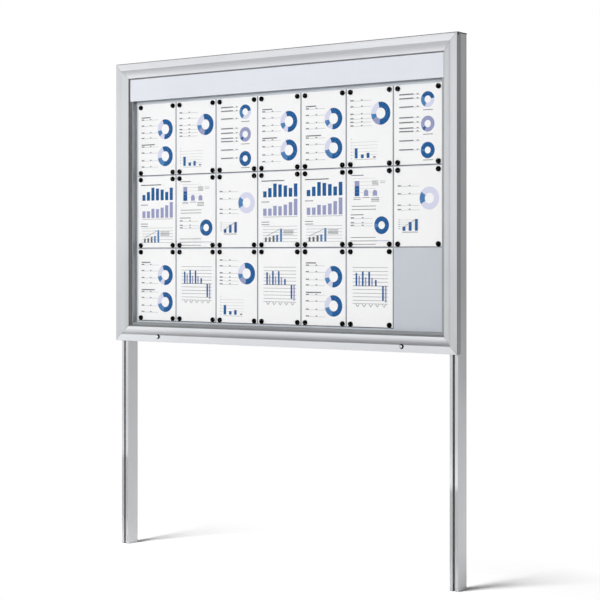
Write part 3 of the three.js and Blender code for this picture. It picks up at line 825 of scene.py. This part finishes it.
def seenRay(tree):
    # One for rays from the camera and for those that a mirror or a pane sends on.
    path = addNode(tree, "ShaderNodeLightPath")
    first = addNode(
        tree,
        "ShaderNodeMath",
        {"operation": "MAXIMUM"},
        {0: path.outputs["Is Camera Ray"], 1: path.outputs["Is Glossy Ray"]},
    )
    both = addNode(
        tree,
        "ShaderNodeMath",
        {"operation": "MAXIMUM"},
        {0: first.outputs[0], 1: path.outputs["Is Transmission Ray"]},
    )
    return both.outputs[0]


def makeFloor():
    bm = bmesh.new()
    bmesh.ops.create_grid(bm, x_segments=1, y_segments=1, size=stage["floorSize"] / 2)
    floor = addObject("floor", meshFrom("floor", bm))
    material, tree = newMaterial("paperFloor")
    bounce = addNode(tree, "ShaderNodeBsdfDiffuse", inputs={"Color": linear(stage["floorBounce"])})
    matt = addNode(tree, "ShaderNodeBsdfDiffuse", inputs={"Color": linear(stage["floorColor"])})
    white = addNode(tree, "ShaderNodeEmission", inputs={"Strength": 1.0})
    # Both feet are taken together by folding the floor over at the board's middle.
    place = addNode(tree, "ShaderNodeTexCoord")
    across = addNode(tree, "ShaderNodeSeparateXYZ", inputs={0: place.outputs["Object"]})
    side = addNode(tree, "ShaderNodeMath", {"operation": "ABSOLUTE"}, {0: across.outputs["X"]})
    folded = addNode(
        tree,
        "ShaderNodeCombineXYZ",
        inputs={"X": side.outputs[0], "Y": across.outputs["Y"], "Z": across.outputs["Z"]},
    )
    away = addNode(
        tree,
        "ShaderNodeVectorMath",
        {"operation": "DISTANCE"},
        {0: folded.outputs[0], 1: stage["foot"]},
    )
    fade = addNode(
        tree,
        "ShaderNodeMapRange",
        inputs={
            "Value": away.outputs["Value"],
            "From Min": stage["fadeFrom"],
            "From Max": stage["shadeReach"],
        },
    )
    shown = addNode(
        tree,
        "ShaderNodeMixShader",
        inputs={0: fade.outputs[0], 1: matt.outputs[0], 2: white.outputs[0]},
    )
    final = addNode(
        tree,
        "ShaderNodeMixShader",
        inputs={0: seenRay(tree), 1: bounce.outputs[0], 2: shown.outputs[0]},
    )
    addNode(tree, "ShaderNodeOutputMaterial", inputs={"Surface": final.outputs[0]})
    floor.data.materials.append(material)
    return floor


def makeWorld():
    # White where it is seen, and a weak fill for everything else.
    world = bpy.data.worlds.new("studio")
    bpy.context.scene.world = world
    world.use_nodes = True
    tree = world.node_tree
    tree.nodes.clear()
    white = linear("ffffff")
    seen = addNode(tree, "ShaderNodeBackground", inputs={"Color": white, "Strength": 1.0})
    fill = addNode(
        tree,
        "ShaderNodeBackground",
        inputs={"Color": white, "Strength": stage["worldFill"]},
    )
    mixed = addNode(
        tree,
        "ShaderNodeMixShader",
        inputs={0: seenRay(tree), 1: fill.outputs[0], 2: seen.outputs[0]},
    )
    addNode(tree, "ShaderNodeOutputWorld", inputs={"Surface": mixed.outputs[0]})


keyBox = {
    "place": (-0.9, -9.7, 3.7),
    "aim": (0, 0, 1.2),
    "size": 4.0,
    "power": 735,
}

# A second lamp lights only the floor and draws the posts' shadows out to the right.
floorLamp = {
    "place": (-1.78, -5.45, 4.02),
    "aim": (0, 0, 0),
    "size": 3.4,
    "power": 1380,
}

# Reflectors and flags that only the metal sees. A glow of one is white. Each has its glow at
# the lower left, lower right, upper left and upper right, and where a card lies flat, its lower
# side is the one in front.
cards = [
    {
        "name": "frontCard",
        "centre": (-4.65, -5.66, 1.7),
        "size": (5.7, 3.4),
        "upright": True,
        "glow": (1.45, 0.4, 0.8, 2.3),
    },
    {
        "name": "middleCard",
        "centre": (-0.15, -5.66, 1.7),
        "size": (3.3, 3.4),
        "upright": True,
        "glow": (1.6, 2.2, 2.1, 2.1),
    },
    {
        "name": "coveCard",
        "centre": (-1.4, -0.85, 0.35),
        "size": (4.4, 1.5),
        "upright": False,
        "glow": (0.2, 0.3, 0.5, 2.1),
    },
    {
        "name": "leftCard",
        "centre": (-5.25, -2.4, 1.6),
        "size": (3.3, 3.0),
        "upright": True,
        "glow": (2.2, 1.8, 3.0, 2.4),
    },
    {
        "name": "backFlag",
        "centre": (2.5, 2.7, 1.7),
        "size": (2.4, 2.5),
        "upright": True,
        "glow": (0.42, 0.42, 0.3, 0.3),
    },
    {
        "name": "topFlag",
        "centre": (-3.0, -2.5, 5.5),
        "size": (12.0, 11.0),
        "upright": False,
        "glow": (0.18, 0.18, 0.18, 0.18),
    },
    {
        "name": "lowFlag",
        "centre": (-3.0, -2.65, 0.03),
        "size": (11.0, 4.7),
        "upright": False,
        "glow": (0.5, 0.7, 0.5, 0.75),
    },
]


def makeLamp(name, settings):
    data = bpy.data.lights.new(name, "AREA")
    data.shape = "DISK"
    data.size = settings["size"]
    data.energy = settings["power"]
    lamp = addObject(name, data)
    lamp.location = settings["place"]
    towards = Vector(settings["aim"]) - Vector(settings["place"])
    lamp.rotation_euler = towards.to_track_quat("-Z", "Y").to_euler()
    lamp.visible_glossy = False
    return lamp


def makeFloorLamp(floor):
    lamp = makeLamp("floorLamp", floorLamp)
    lit = bpy.data.collections.new("litByFloorLamp")
    lit.objects.link(floor)
    lamp.light_linking.receiver_collection = lit


def makeCards():
    for card in cards:
        width, height = card["size"]
        turn = Matrix.Rotation(math.pi / 2 if card["upright"] else 0, 4, "X")
        sized = Matrix.Diagonal((width, height, 1, 1))
        place = Matrix.Translation(card["centre"]) @ turn @ sized
        bm = bmesh.new()
        bmesh.ops.create_grid(bm, x_segments=1, y_segments=1, size=0.5, matrix=place)
        mesh = meshFrom(card["name"], bm)
        shares = mesh.attributes.new("glow", "FLOAT", "POINT")
        shares.data.foreach_set("value", card["glow"])
        material, tree = newMaterial(card["name"])
        share = addNode(tree, "ShaderNodeAttribute", {"attribute_name": "glow"})
        glow = addNode(tree, "ShaderNodeEmission", inputs={"Strength": share.outputs["Fac"]})
        addNode(tree, "ShaderNodeOutputMaterial", inputs={"Surface": glow.outputs[0]})
        mesh.materials.append(material)
        holder = addObject(card["name"], mesh)
        holder.visible_camera = False
        holder.visible_diffuse = False
        holder.visible_transmission = False
        holder.visible_shadow = False


floor = makeFloor()
makeWorld()
makeLamp("keyBox", keyBox)
makeFloorLamp(floor)
makeCards()
bpy.context.scene.view_settings.view_transform = "Standard"
print("stage set")
